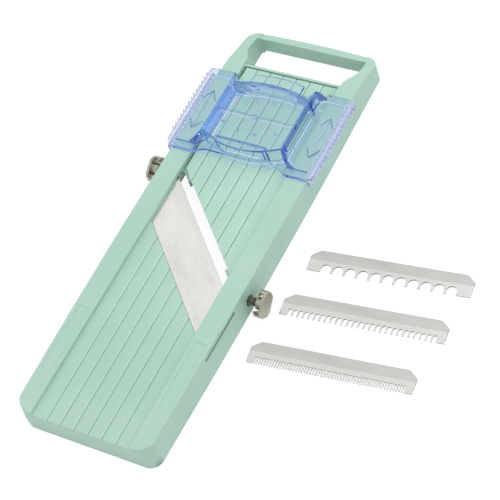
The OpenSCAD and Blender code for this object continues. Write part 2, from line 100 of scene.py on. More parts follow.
class Pattern:
    """A new material's node tree, with the object coordinates that its patterns read."""

    def __init__(self, name: str) -> None:
        """Starts an empty material.

        Args:
            name: what the real material is and how its surface was made.
        """
        self.material = bpy.data.materials.new(name)
        self.material.use_nodes = True
        self.tree = self.material.node_tree
        self.tree.nodes.clear()
        self.place = add_node(self.tree, "TexCoord").outputs["Object"]

    def add(
        self,
        kind: str,
        settings: dict[str, object] | None = None,
        links: dict[str | int, object] | None = None,
    ) -> bpy.types.Node:
        """Adds a node to this material, as add_node does."""
        return add_node(self.tree, kind, settings, links)

    def math(self, operation: str, first: object, second: object = 0.0) -> Socket:
        """Adds one sum of two sockets or numbers and gives its result."""
        return self.add("Math", {"operation": operation}, {0: first, 1: second}).outputs[0]

    def spread(self, value: Socket, low: float, high: float, start: float = 0.0, end: float = 1.0) -> Socket:
        """Maps a value from start and end to low and high, clamped.

        Args:
            value: the socket that is mapped.
            low: the result at start.
            high: the result at end.
            start: where the result leaves low.
            end: where the result reaches high.

        Returns:
            The mapped value.
        """
        links = {"Value": value, "From Min": start, "From Max": end, "To Min": low, "To Max": high}
        return self.add("MapRange", {}, links).outputs[0]

    def mix(self, factor: Socket, first: object, second: object) -> Socket:
        """Mixes two colours by a factor and gives the result."""
        return self.add("Mix", {"data_type": "RGBA"}, {"Factor": factor, 6: first, 7: second}).outputs[2]

    def noise(self, size_mm: float, where: Socket | None = None, detail: float = 2.0) -> Socket:
        """Adds noise whose lumps are about size_mm across and gives its value.

        Args:
            size_mm: the size of a lump.
            where: the coordinates, the object's own where none are given.
            detail: how many finer layers lie on the lumps.

        Returns:
            The noise, from 0 to 1.
        """
        links = {"Vector": where or self.place, "Scale": 1 / (size_mm * MM), "Detail": detail}
        return self.add("TexNoise", {}, links).outputs["Fac"]

    def local(self, origin_mm: Sequence[float], turn_deg: float) -> Socket:
        """Gives coordinates about a point, turned about Z, for a pattern laid along a part.

        Args:
            origin_mm: the point that becomes the origin.
            turn_deg: the part's own turn about Z.

        Returns:
            The coordinates, in metres.
        """
        links = {
            "Vector": self.place,
            "Location": [c * MM for c in origin_mm],
            "Rotation": (0, 0, math.radians(turn_deg)),
        }
        return self.add("Mapping", {"vector_type": "TEXTURE"}, links).outputs[0]

    def stretched(self, where: Socket, scale: Sequence[float]) -> Socket:
        """Stretches coordinates, for ground and brushed lines."""
        return self.add("Mapping", {"vector_type": "POINT"}, {"Vector": where, "Scale": scale}).outputs[0]

    def relief(self, height: Socket, depth_mm: float, strength: float, radius_mm: float | Socket) -> Socket:
        """Gives a normal with softened edges and a fine relief.

        Args:
            height: the relief, from 0 to 1.
            depth_mm: how deep the relief is.
            strength: how much of it shows.
            radius_mm: how far edges are softened, or a socket that gives it in metres.

        Returns:
            The normal.
        """
        radius = radius_mm if isinstance(radius_mm, Socket) else radius_mm * MM
        edge = self.add("Bevel", {"samples": 6}, {"Radius": radius}).outputs[0]
        links = {"Height": height, "Strength": strength, "Distance": depth_mm * MM, "Normal": edge}
        return self.add("Bump", {}, links).outputs[0]

    def close(self, shader: Socket, volume: Socket | None = None) -> bpy.types.Material:
        """Joins the shader to the output and returns the material.

        Args:
            shader: the surface shader.
            volume: the volume shader, if there is one.

        Returns:
            The finished material.
        """
        links: dict[str | int, object] = {"Surface": shader}
        if volume is not None:
            links["Volume"] = volume
        self.add("OutputMaterial", {}, links)
        return self.material


@dataclass(frozen=True)
class MouldedAbs:
    """Injection-moulded ABS: an even satin colour with a faint flow mottle and a fine grain.

    The spark-eroded grain of the mould is about 0.1 mm and is drawn coarser, so that it shows.
    """

    name: str = "moulded_abs_mint"
    colour: str = "B1D4C5"
    flow_colour: str = "ABCFBF"
    flow_mm: float = 45.0
    roughness: float = 0.46
    grain_mm: float = 0.4
    edge_mm: float = 0.35

    def build(self) -> bpy.types.Material:
        """Builds the plastic.

        Returns:
            The material.
        """
        p = Pattern(self.name)
        grain = p.noise(self.grain_mm)
        flow = p.spread(p.noise(self.flow_mm), 0, 1, 0.35, 0.65)
        shader = p.add(
            "BsdfPrincipled",
            {},
            {
                "Base Color": p.mix(flow, linear(self.colour), linear(self.flow_colour)),
                "Roughness": p.spread(grain, self.roughness - 0.06, self.roughness + 0.06),
                "Normal": p.relief(grain, 0.05, 0.1, self.edge_mm),
                "IOR": 1.53,
            },
        )
        return p.close(shader.outputs[0])


@dataclass(frozen=True)
class TintedAcrylic:
    """Clear moulded acrylic with a blue dye: pale where it is looked through, deep blue on edge.

    The dye is in the volume, so long paths darken by themselves. Edges and the walls between
    the block and its finger wells pipe light through far more dye, and a painted deep-blue
    shade on their surface stands for that. The ribbed grips of the wings are slightly frosted.
    """

    name: str = "clear_acrylic_blue"
    dye: str = "50B5F9"
    density: float = 72.0
    wall_shade_tint: str = "6673D8"
    edge_shade_tint: str = "7480E2"
    arrow_shade_tint: str = "8CA0C8"
    frost_colour: str = "EEECF8"
    roughness: float = 0.03
    ripple_mm: float = 9.0
    edge_mm: float = 0.5
    wall_x_mm: float = 27.3
    wall_foot_mm: float = 25.0
    corner_foot_mm: float = 21.9
    well_front_mm: float = 192.9
    grip_x_mm: float = 45.2
    soft_mm: float = 0.2
    foot_soft_mm: float = 0.6
    corner_rise_mm: float = 0.3
    corner_set_in_mm: float = 1.0
    lip_half_mm: float = 0.6
    lip_foot_mm: float = 20.7
    lip_soft_mm: float = 0.1
    arrow_mm: tuple[float, float, float] = (40.1, 218.0, 20.2)
    arrow_half_mm: tuple[float, float, float] = (4.6, 16.0, 0.26)

    def build(self) -> bpy.types.Material:
        """Builds the clear plastic.

        Returns:
            The material.
        """
        p = Pattern(self.name)
        place = p.add("SeparateXYZ", {}, {0: p.place}).outputs
        across = p.math("ABSOLUTE", place["X"])
        grip = self.beyond(p, across, self.grip_x_mm)
        # Painted shade: the walls beside the block and along the well fronts get a deep-blue tint for light
        # piped through the dye.
        tint = p.mix(self.walls(p, across, place), (1, 1, 1, 1), linear(self.wall_shade_tint))
        # Painted shade: the arrow grooves get a darker blue-grey tint, as shade in a recess.
        tint = p.mix(self.arrows(p, across, place), tint, linear(self.arrow_shade_tint))
        # Painted shade: a deep-blue tint close to every edge.
        tint = p.mix(self.edges(p), tint, linear(self.edge_shade_tint))
        ripple = p.noise(self.ripple_mm, detail=1.0)
        shader = p.add(
            "BsdfPrincipled",
            {},
            {
                "Base Color": p.mix(grip, tint, linear(self.frost_colour)),
                "Roughness": p.spread(grip, self.roughness, 0.12),
                "Normal": p.relief(ripple, 0.12, 0.35, 0.1),
                "Transmission Weight": p.spread(grip, 1.0, 0.8),
                "IOR": 1.49,
            },
        )
        through = p.add("BsdfTransparent", {}, {"Color": linear("FAFBFD")})
        path = p.add("LightPath").outputs
        lit = p.math("MAXIMUM", path["Is Shadow Ray"], path["Is Diffuse Ray"])
        surface = p.add("MixShader", {}, {0: lit, 1: shader.outputs[0], 2: through.outputs[0]})
        volume = p.add("VolumeAbsorption", {}, {"Color": linear(self.dye), "Density": self.density})
        return p.close(surface.outputs[0], volume.outputs[0])

    def beyond(self, p: Pattern, value: Socket, limit_mm: float, soft_mm: float | None = None) -> Socket:
        """Gives 1 where a place is beyond a limit and 0 before it.

        Args:
            p: the material.
            value: the place along one axis, in metres.
            limit_mm: the limit.
            soft_mm: half the width of the change, soft_mm of this finish where none is given.

        Returns:
            The mask.
        """
        soft = self.soft_mm if soft_mm is None else soft_mm
        return p.spread(value, 0, 1, (limit_mm - soft) * MM, (limit_mm + soft) * MM)

    def close_to(self, p: Pattern, value: Socket, middle_mm: float, half_mm: float) -> Socket:
        """Gives 1 within half_mm of a middle and 0 elsewhere.

        Args:
            p: the material.
            value: the place along one axis, in metres.
            middle_mm: the middle of the stretch.
            half_mm: half its length.

        Returns:
            The mask.
        """
        near = p.add("Math", {"operation": "COMPARE"}, {0: value, 1: middle_mm * MM, 2: half_mm * MM})
        return near.outputs[0]

    def walls(self, p: Pattern, across: Socket, place: bpy.types.NodeOutputs) -> Socket:
        """Gives 1 on the walls beside the block and along the front of the finger wells, where the deep-blue
        shade is painted.

        Args:
            p: the material.
            across: the distance from the middle plane.
            place: the place as X, Y and Z.

        Returns:
            The mask.
        """
        beside = self.beyond(p, across, self.wall_x_mm)
        inside = p.math("SUBTRACT", 1.0, self.beyond(p, across, self.grip_x_mm))
        tall = self.beyond(p, place["Z"], self.wall_foot_mm + self.foot_soft_mm, self.foot_soft_mm)
        corner = self.beyond(p, place["Z"], self.corner_foot_mm + self.corner_rise_mm)
        aside = self.beyond(p, across, self.wall_x_mm + self.corner_set_in_mm)
        corner = p.math("MULTIPLY", corner, aside)
        lip = self.close_to(p, place["Y"], self.well_front_mm - self.lip_half_mm, self.lip_half_mm)
        low = self.beyond(p, place["Z"], self.lip_foot_mm, self.lip_soft_mm)
        part = p.math("MAXIMUM", p.math("MAXIMUM", tall, corner), p.math("MULTIPLY", lip, low))
        return p.math("MULTIPLY", p.math("MULTIPLY", beside, inside), part)

    def arrows(self, p: Pattern, across: Socket, place: bpy.types.NodeOutputs) -> Socket:
        """Gives 1 in the arrows that are cut into the floors of the finger wells, where a blue-grey shade is
        painted.

        Args:
            p: the material.
            across: the distance from the middle plane.
            place: the place as X, Y and Z.

        Returns:
            The mask.
        """
        inside, along, level = (
            self.close_to(p, value, middle, half)
            for value, middle, half in zip((across, place["Y"], place["Z"]), self.arrow_mm, self.arrow_half_mm)
        )
        return p.math("MULTIPLY", level, p.math("MULTIPLY", inside, along))

    def edges(self, p: Pattern) -> Socket:
        """Gives 1 close to an edge, where a rounded normal leaves the flat one and a deep-blue shade is painted.

        Args:
            p: the material.

        Returns:
            The mask.
        """
        turned = p.add("Bevel", {"samples": 6}, {"Radius": self.edge_mm * MM}).outputs[0]
        flat = p.add("NewGeometry").outputs["True Normal"]
        same = p.add("VectorMath", {"operation": "DOT_PRODUCT"}, {0: turned, 1: flat}).outputs["Value"]
        return p.spread(same, 1, 0, 0.8, 0.98)


@dataclass(frozen=True)
class GroundSteel:
    """Surface-ground stainless steel with a cutting band that is ground across the edge.

    Lengthwise scratches give a soft sheen. The band along the edge is ground the other way,
    so it stands off from the plate, helped by a colour painted for its different reflection. The upright flanks
    get a painted dark shade.
    Grit lines of 0.05 mm are drawn at grit_mm.
    """

    name: str
    origin_mm: tuple[float, float, float] = (0.0, 0.0, 0.0)
    turn_deg: float = 0.0
    band_mm: float = 0.0
    colour: str = "EAE9E6"
    band_reflection_colour: str = "DCDCD8"
    cloud_colour: str = "DFDEDA"
    roughness: float = 0.24
    flank_shade_colour: str = "55554F"
    sheen_spread: float = 0.09
    grit_depth: float = 0.12
    grit_mm: float = 0.22
    stretch: float = 40.0
    band_soft_mm: float = 0.08
    cloud_mm: float = 16.0
    flank_shade_slope: tuple[float, float] = (0.25, 0.35)

    def build(self) -> bpy.types.Material:
        """Builds the steel.

        Returns:
            The material.
        """
        p = Pattern(self.name)
        here = p.local(self.origin_mm, self.turn_deg)
        along = p.noise(self.grit_mm, p.stretched(here, (1 / self.stretch, 1, 1)), 4.0)
        across = p.noise(self.grit_mm, p.stretched(here, (1, 1 / self.stretch, 1)), 4.0)
        depth = p.math("ABSOLUTE", p.add("SeparateXYZ", {}, {0: here}).outputs["Y"])
        band_ends = [(self.band_mm + side * self.band_soft_mm) * MM for side in (-1, 1)]
        band = p.spread(depth, 1, 0, *band_ends)
        grit = p.add("Mix", {"data_type": "FLOAT"}, {"Factor": band, 2: along, 3: across}).outputs[0]
        cloud = p.noise(self.cloud_mm, p.stretched(here, (0.4, 1, 1)))
        plate = p.mix(p.spread(cloud, 0, 1, 0.35, 0.65), linear(self.colour), linear(self.cloud_colour))
        # Painted reflection: the edge band gets its own lighter or darker colour, for how it reflects compared
        # with the plate; its grit direction is real.
        shade = p.add(
            "Mix",
            {"data_type": "RGBA", "blend_type": "MULTIPLY"},
            {
                "Factor": 0.35,
                6: p.mix(band, plate, linear(self.band_reflection_colour)),
                7: p.mix(grit, linear("D8D8D8"), linear("FFFFFF")),
            },
        )
        # Painted shade: upright faces, such as the tooth flanks and plate edges, are given a dark colour.
        facing = p.add("NewGeometry").outputs["True Normal"]
        upright = p.math("ABSOLUTE", p.add("SeparateXYZ", {}, {0: facing}).outputs["Z"])
        flank_shade = p.spread(upright, 1, 0, *self.flank_shade_slope)
        dullest, brightest = self.roughness + self.sheen_spread, self.roughness - self.sheen_spread
        shader = p.add(
            "BsdfPrincipled",
            {},
            {
                "Base Color": p.mix(flank_shade, shade.outputs[2], linear(self.flank_shade_colour)),
                "Metallic": 1.0,
                "Roughness": p.spread(grit, brightest, dullest, 0.3, 0.7),
                "Normal": p.relief(grit, 0.03, self.grit_depth, 0.1),
            },
        )
        return p.close(shader.outputs[0])


@dataclass(frozen=True)
class PlatedCasting:
    """Dull nickel plate over a zinc die casting: warm grey, slightly pitted and mottled."""

    name: str = "nickel_plated_zinc_casting"
    colour: str = "B9B7A9"
    pit_colour: str = "9A978A"
    roughness: float = 0.36
    pit_mm: float = 1.1

    def build(self) -> bpy.types.Material:
        """Builds the plated casting.

        Returns:
            The material.
        """
        p = Pattern(self.name)
        pits = p.noise(self.pit_mm, detail=4.0)
        bare = p.spread(pits, 0, 1, 0.3, 0.62)
        shader = p.add(
            "BsdfPrincipled",
            {},
            {
                "Base Color": p.mix(bare, linear(self.pit_colour), linear(self.colour)),
                "Metallic": 1.0,
                "Roughness": p.spread(pits, self.roughness + 0.14, self.roughness - 0.08),
                "Normal": p.relief(pits, 0.08, 0.4, 0.2),
            },
        )
        return p.close(shader.outputs[0])


@dataclass(frozen=True)
class TurnedMetal:
    """Turned or rolled metal of a screw, nut or rod: fine rings round one axis and a film of oil."""

    name: str
    colour: str
    film_colour: str
    roughness: float = 0.3
    ring_mm: float = 0.3
    film_mm: float = 2.5

    def build(self) -> bpy.types.Material:
        """Builds the metal.

        Returns:
            The material.
        """
        p = Pattern(self.name)
        film = p.spread(p.noise(self.film_mm, detail=3.0), 0, 1, 0.4, 0.65)
        rings = p.noise(self.ring_mm, p.stretched(p.place, (1, 0.1, 0.1)), 3.0)
        shader = p.add(
            "BsdfPrincipled",
            {},
            {
                "Base Color": p.mix(film, linear(self.colour), linear(self.film_colour)),
                "Metallic": 1.0,
                "Roughness": p.spread(rings, self.roughness - 0.08, self.roughness + 0.12),
                "Normal": p.relief(rings, 0.03, 0.2, 0.1),
            },
        )
        return p.close(shader.outputs[0])


def packed(node: str) -> bpy.types.Object:
    """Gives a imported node's object."""
    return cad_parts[node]


def dress(material: bpy.types.Material, *nodes: str) -> None:
    """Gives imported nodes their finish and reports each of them.

    Args:
        material: the finish.
        nodes: the nodes' names.
    """
    for node in nodes:
        obj = packed(node)
        obj.data.materials.clear()
        obj.data.materials.append(material)
        LOG.info("%s is finished in %s", node, material.name)


def whole_faces(node: str) -> bmesh.types.BMesh:
    """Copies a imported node's mesh, joins its loose triangles and makes its flat faces whole.

    Args:
        node: the node's name.

    Returns:
        The copy, with its faces pointing outwards as the node's do.
    """
    shape = bmesh.new()
    shape.from_mesh(packed(node).data)
    bmesh.ops.remove_doubles(shape, verts=shape.verts, dist=MERGE_MM * MM)
    bmesh.ops.dissolve_limit(
        shape, angle_limit=math.radians(0.4), verts=shape.verts, edges=shape.edges, delimit=set()
    )
    return shape


def cut_away(shape: bmesh.types.BMesh, low_mm: Sequence[float], high_mm: Sequence[float]) -> None:
    """Cuts a box out of a closed shape.

    Args:
        shape: the shape, which is changed.
        low_mm: the box's lowest corner.
        high_mm: the box's highest corner.
    """
    block = bmesh.new()
    bmesh.ops.create_cube(block, size=1.0)
    bmesh.ops.scale(block, verts=block.verts, vec=[(h - g) * MM for g, h in zip(low_mm, high_mm)])
    bmesh.ops.translate(block, verts=block.verts, vec=[(h + g) / 2 * MM for g, h in zip(low_mm, high_mm)])
    pair = []
    for name, part in (("cut_body", shape), ("cut_block", block)):
        mesh = bpy.data.meshes.new(name)
        part.to_mesh(mesh)
        pair.append(bpy.data.objects.new(name, mesh))
        bpy.context.scene.collection.objects.link(pair[-1])
    block.free()
    cut = pair[0].modifiers.new("cut", "BOOLEAN")
    cut.operation, cut.solver, cut.object = "DIFFERENCE", "EXACT", pair[1]
    result = pair[0].evaluated_get(bpy.context.evaluated_depsgraph_get()).to_mesh()
    shape.clear()
    shape.from_mesh(result)
    for obj in pair:
        mesh = obj.data
        bpy.data.objects.remove(obj)
        bpy.data.meshes.remove(mesh)


def round_edges(shape: bmesh.types.BMesh, radius_mm: float, segments: int, wanted: EdgeTest) -> None:
    """Rounds the edges of a shape that pass a test.

    Args:
        shape: the shape, which is changed.
        radius_mm: the radius of the rounding.
        segments: how many flat strips make it up.
        wanted: says whether an edge is rounded.
    """
    edges = [e for e in shape.edges if e.is_manifold and wanted(e)]
    bmesh.ops.bevel(
        shape,
        geom=edges,
        offset=radius_mm * MM,
        offset_type="OFFSET",
        affect="EDGES",
        segments=segments,
        profile=0.5,
        material=-1,
        clamp_overlap=True,
    )


def finish_piece(
    name: str,
    shape: bmesh.types.BMesh,
    material: bpy.types.Material,
    body: str,
    stands_for: Sequence[str] = (),
    smooth_deg: float = 30.0,
) -> bpy.types.Object:
    """Makes a shape a finished piece of the object, on its body, and reports it.

    Args:
        name: the piece's name.
        shape: its shape in place, in metres, which is used up.
        material: its finish.
        body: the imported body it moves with.
        stands_for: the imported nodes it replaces.
        smooth_deg: the angle up to which neighbouring faces shade as one.

    Returns:
        The new object.
    """
    mesh = bpy.data.meshes.new(name)
    shape.to_mesh(mesh)
    shape.free()
    mesh.shade_smooth()
    mesh.set_sharp_from_angle(angle=math.radians(smooth_deg))
    mesh.materials.append(material)
    obj = bpy.data.objects.new(name, mesh)
    bpy.context.scene.collection.objects.link(obj)
    flats = obj.modifiers.new("flat_faces_stay_flat", "WEIGHTED_NORMAL")
    flats.keep_sharp = True
    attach(obj, body)
    if stands_for:
        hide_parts(*stands_for)
    LOG.info("%s has %d faces and is finished in %s", name, len(mesh.polygons), material.name)
    return obj


def edge_middle(edge: bmesh.types.BMEdge) -> Vector:
    """Gives the middle of an edge, in millimetres."""
    return (edge.verts[0].co + edge.verts[1].co) / (2 * MM)


class Side(Enum):
    """The two long sides, each with the sign of its X."""

    RIGHT = 1
    LEFT = -1


@dataclass
class SlicerBody:
    """The moulded frame with its rails, landing and handle, and the metal fixed in it."""

    finish: MouldedAbs = field(default_factory=MouldedAbs)
    rail_top: float = 19.0
    rail_inner_x: float = 32.6
    outer_x: float = 44.0
    front_y: float = 6.0
    handle_y: float = 258.0
    outer_radius: float = 1.3
    inner_radius: float = 0.6
    outer_segments: int = 5
    inner_segments: int = 3
    handle_fall_deg: float = 11.5
    channel_end_y: float = 255.0
    bar_y: float = 280.0
    grip_half_x: float = 36.6
    rail_pockets: tuple[tuple[tuple[float, float, float], tuple[float, float, float]], ...] = (
        ((-42.2, 170.2, -1.0), (-32.4, 184.2, 3.4)),
        ((-37.3, 170.2, 3.0), (-32.4, 184.2, 12.9)),
    )

    def build(self) -> None:
        """Builds the frame and finishes what is fixed in it."""
        self.shell(self.finish.build())
        self.metalwork()

    def is_top_edge(self, edge: bmesh.types.BMEdge) -> bool:
        """Says whether an edge is an outside corner between a top face and an upright wall.

        Args:
            edge: the edge.

        Returns:
            True for such an edge at the height of the rail tops.
        """
        tops = [f for f in edge.link_faces if f.normal.z > 0.9]
        walls = [f for f in edge.link_faces if abs(f.normal.z) < 0.2]
        if not (tops and walls and edge.is_convex):
            return False
        return edge_middle(edge).z > self.top_at(edge_middle(edge).y) - 0.15

    def top_at(self, y: float) -> float:
        """Gives the height of the rail tops at a distance along the body."""
        fall = math.tan(math.radians(self.handle_fall_deg))
        return self.rail_top - max(0.0, y - self.handle_y) * fall

    def is_outer(self, edge: bmesh.types.BMEdge) -> bool:
        """Says whether a top edge lies on the outline of the body.

        Args:
            edge: the edge.

        Returns:
            True for such an edge.
        """
        middle = edge_middle(edge)
        at_side = abs(middle.x) > self.outer_x - 1.2
        at_front = middle.y < self.front_y + 4 and abs(middle.x) > self.rail_inner_x + 0.4
        at_back = middle.y > self.bar_y and abs(middle.x) > self.grip_half_x
        return self.is_top_edge(edge) and (at_side or at_front or at_back)

    def is_inner(self, edge: bmesh.types.BMEdge) -> bool:
        """Says whether a top edge lies along the channel.

        Args:
            edge: the edge.

        Returns:
            True for such an edge.
        """
        middle = edge_middle(edge)
        along = abs(edge.verts[0].co.y - edge.verts[1].co.y) > 2 * MM
        near = abs(abs(middle.x) - self.rail_inner_x) < 0.2
        return self.is_top_edge(edge) and along and near and middle.y < self.channel_end_y

    def shell(self, plastic: bpy.types.Material) -> None:
        """Makes the frame with its long edges rounded.

        Args:
            plastic: its finish.
        """
        shape = whole_faces("body_frame")
        for low, high in self.rail_pockets:
            cut_away(shape, low, high)
        round_edges(shape, self.outer_radius, self.outer_segments, self.is_outer)
        round_edges(shape, self.inner_radius, self.inner_segments, self.is_inner)
        finish_piece("frame_shell", shape, plastic, "frame", ["body_frame"])

    def metalwork(self) -> None:
        """Finishes the rod, screws and inserts that are fixed in the frame."""
        zinc = TurnedMetal("zinc_plated_screw_steel", "A3A199", "8B8571", roughness=0.34).build()
        brass = TurnedMetal("turned_brass", "CBAA63", "A9853F", roughness=0.28).build()
        dress(zinc, "hinge_rod", "blade_screws", "bracket_screws")
        dress(brass, "clamp_inserts", "ramp_nut")
        strap = GroundSteel("rolled_stainless_strap", (0, 191.5, 0), 0.0, colour="BDBCB8", roughness=0.38)
        dress(strap.build(), "adjuster_bracket")


@dataclass
class Ramp:
    """The moulded ramp plate on its hinge."""

    finish: MouldedAbs = field(default_factory=lambda: MouldedAbs(name="moulded_abs_mint_ramp", colour="B7DACB"))

    def build(self) -> None:
        """Finishes the ramp."""
        dress(self.finish.build(), "ramp_plate")


@dataclass
class CuttingBlade:
    """The diagonal blade, ground along its length with a bevel ground across."""

    edge_mm: tuple[float, float, float] = (0.0, 139.2, 0.0)
    turn_deg: float = -43.9
    bevel_mm: float = 3.2

    def build(self) -> None:
        """Finishes the blade."""
        steel = GroundSteel("ground_stainless_blade", self.edge_mm, self.turn_deg, self.bevel_mm)
        dress(steel.build(), "main_blade")


@dataclass
class LooseComb:
    """One loose comb blade, with its corner, turn and ground tooth band."""

    node: str
    corner_mm: tuple[float, float, float]
    turn_deg: float = 6.5
    band_mm: float = 7.2

    def build(self) -> None:
        """Finishes the comb."""
        steel = GroundSteel(
            "ground_stainless_" + self.node,
            self.corner_mm,
            self.turn_deg,
            self.band_mm,
            roughness=0.17,
            sheen_spread=0.02,
            grit_depth=0.03,
            colour="CECECB",
            band_reflection_colour="DADAD7",
            cloud_colour="C5C5C2",
        )
        dress(steel.build(), self.node)


@dataclass
class ScrewThread:
    """A rolled thread along a straight rod, with flat crests and roots."""

    outer_d: float = 5.0
    pitch: float = 0.8
    depth: float = 0.42
    crest: float = 0.14
    facets: int = 28

    def build(self, length: float, place: Matrix) -> bmesh.types.BMesh:
        """Builds a threaded rod from the origin up Z and puts it in place.

        Args:
            length: how long the rod is.
            place: where the rod's foot and axis go, in metres.

        Returns:
            The rod, closed at both ends.
        """
        outer = self.outer_d / 2
        root = outer - self.depth
        rise = (self.pitch - 2 * self.crest) / 2
        steps = [(root, 0), (root, self.crest), (outer, self.crest + rise), (outer, 2 * self.crest + rise)]
        steps.append((root, self.pitch))
        shape = bmesh.new()
        corners = [shape.verts.new((r * MM, 0, z * MM)) for r, z in steps]
        sides = [shape.edges.new(pair) for pair in zip(corners, corners[1:])]
        turns = math.ceil(length / self.pitch) + 2
        bmesh.ops.spin(
            shape,
            geom=corners + sides,
            cent=(0, 0, 0),
            axis=(0, 0, 1),
            dvec=(0, 0, self.pitch * MM / self.facets),
            angle=math.tau * turns,
            steps=self.facets * turns,
            use_merge=False,
            use_duplicate=False,
        )
        bmesh.ops.remove_doubles(shape, verts=shape.verts, dist=MERGE_MM * MM)
        for height, outwards in ((self.pitch, -1), (self.pitch + length, 1)):
            everything = shape.verts[:] + shape.edges[:] + shape.faces[:]
            bmesh.ops.bisect_plane(
                shape,
                geom=everything,
                dist=1e-7,
                plane_co=(0, 0, height * MM),
                plane_no=(0, 0, outwards),
                clear_outer=True,
            )
        bmesh.ops.holes_fill(shape, edges=[e for e in shape.edges if e.is_boundary], sides=0)
        bmesh.ops.recalc_face_normals(shape, faces=shape.faces)
        down = Matrix.Translation((0, 0, -self.pitch * MM))
        bmesh.ops.transform(shape, matrix=place @ down, verts=shape.verts)
        return shape


@dataclass
class ClampScrew:
    """A thumb screw through the rail: threaded spindle and cast knob."""

    side: Side
    y: float
    z: float = 8.0
    tip_x: float = 36.2
    end_x: float = 55.0
    thread: ScrewThread = field(default_factory=ScrewThread)
    edge_radius: float = 0.45
    edge_segments: int = 3
    corner_deg: float = 35.0
    hub_radius: float = 4.4

    def build(self, steel: bpy.types.Material, plate: bpy.types.Material) -> None:
        """Builds both pieces.

        Args:
            steel: the finish of the spindle.
            plate: the finish of the knob.
        """
        self.spindle(steel)
        self.knob(plate)

    def name(self) -> str:
        """Gives the side as it stands in the names."""
        return self.side.name.lower()

    def spindle(self, steel: bpy.types.Material) -> None:
        """Makes the threaded spindle, from its tip outwards.

        Args:
            steel: its finish.
        """
        outwards = Matrix.Rotation(self.side.value * math.pi / 2, 4, "Y")
        foot = Matrix.Translation(Vector((self.side.value * self.tip_x, self.y, self.z)) * MM)
        shape = self.thread.build(self.end_x - self.tip_x, foot @ outwards)
        node = f"{self.name()}_clamp_spindle"
        body = f"{self.name()}_screw"
        finish_piece(f"{self.name()}_clamp_thread", shape, steel, body, [node])

    def knob(self, plate: bpy.types.Material) -> None:
        """Makes the cast knob, with the rounded edges of a casting.

        Args:
            plate: its finish.
        """
        node = f"{self.name()}_clamp_knob"
        shape = whole_faces(node)
        round_edges(shape, self.edge_radius, self.edge_segments, self.is_cast_edge)
        body = f"{self.name()}_knob"
        finish_piece(f"{self.name()}_cast_knob", shape, plate, body, [node])

    def is_cast_edge(self, edge: bmesh.types.BMEdge) -> bool:
        """Says whether an edge is an outside corner of the casting, away from its bore.

        Args:
            edge: the edge.

        Returns:
            True for such an edge.
        """
        middle = edge_middle(edge)
        from_axis = math.hypot(middle.y - self.y, middle.z - self.z)
        sharp = edge.calc_face_angle(0) > math.radians(self.corner_deg)
        return edge.is_convex and sharp and from_axis > self.hub_radius


@dataclass
class RampAdjuster:
    """The screw under the ramp: its threaded spindle, finger wheel, clip and washer."""

    y: float = 191.5
    foot_z: float = 1.6
    top_z: float = 11.6
    thread: ScrewThread = field(default_factory=ScrewThread)

    def build(self, steel: bpy.types.Material, plate: bpy.types.Material) -> None:
        """Builds the spindle and finishes the rest.

        Args:
            steel: the finish of the spindle and clip.
            plate: the finish of the finger wheel.
        """
        place = Matrix.Translation(Vector((0, self.y, self.foot_z)) * MM)
        shape = self.thread.build(self.top_z - self.foot_z, place)
        finish_piece("adjuster_thread", shape, steel, "adjuster", ["adjuster_spindle"])
        dress(plate, "adjuster_knob")
        dress(steel, "adjuster_clip", "adjuster_washer")


@dataclass
class HandGuard:
    """The clear guard that holds the food and rides on the rails."""

    finish: TintedAcrylic = field(default_factory=TintedAcrylic)
    deck_z: float = 30.0
    rim_z: float = 21.7
    rib_y: float = 216.1
    rib_half: float = 1.7
    rib_end: float = 27.0
    rib_levels: tuple[tuple[float, float], ...] = ((22.1, 27.0), (24.1, 27.4))
    level_slack: float = 0.05
    edge_radius: float = 0.45
    edge_segments: int = 3
    corner_deg: float = 50.0

    def build(self) -> None:
        """Makes the guard with the rounded rims of a moulding."""
        shape = whole_faces("hand_guard")
        self.trim_rib(shape)
        round_edges(shape, self.edge_radius, self.edge_segments, self.is_rim)
        plastic = self.finish.build()
        finish_piece("guard_moulding", shape, plastic, "guard", ["hand_guard"])

    def trim_rib(self, shape: bmesh.types.BMesh) -> None:
        """Raises the foot of the rib under the deck, which is a low one.

        Args:
            shape: the guard, which is changed.
        """
        for foot, raised in self.rib_levels:
            near = [v for v in shape.verts if abs(v.co.z / MM - foot) < self.level_slack]
            near = [v for v in near if abs(v.co.y / MM - self.rib_y) < self.rib_half]
            near = [v for v in near if abs(v.co.x) < self.rib_end * MM]
            bmesh.ops.translate(shape, verts=near, vec=(0, 0, (raised - foot) * MM))
            LOG.info("the rib's foot: %d corners go from %.1f to %.1f", len(near), foot, raised)

    def is_rim(self, edge: bmesh.types.BMEdge) -> bool:
        """Says whether an edge is an outside corner of the deck or of a wing's rim.

        Args:
            edge: the edge.

        Returns:
            True for such an edge.
        """
        height = edge_middle(edge).z
        level = min(abs(height - self.deck_z), abs(height - self.rim_z)) < 0.01
        sharp = edge.calc_face_angle(0) > math.radians(self.corner_deg)
        return level and edge.is_convex and sharp


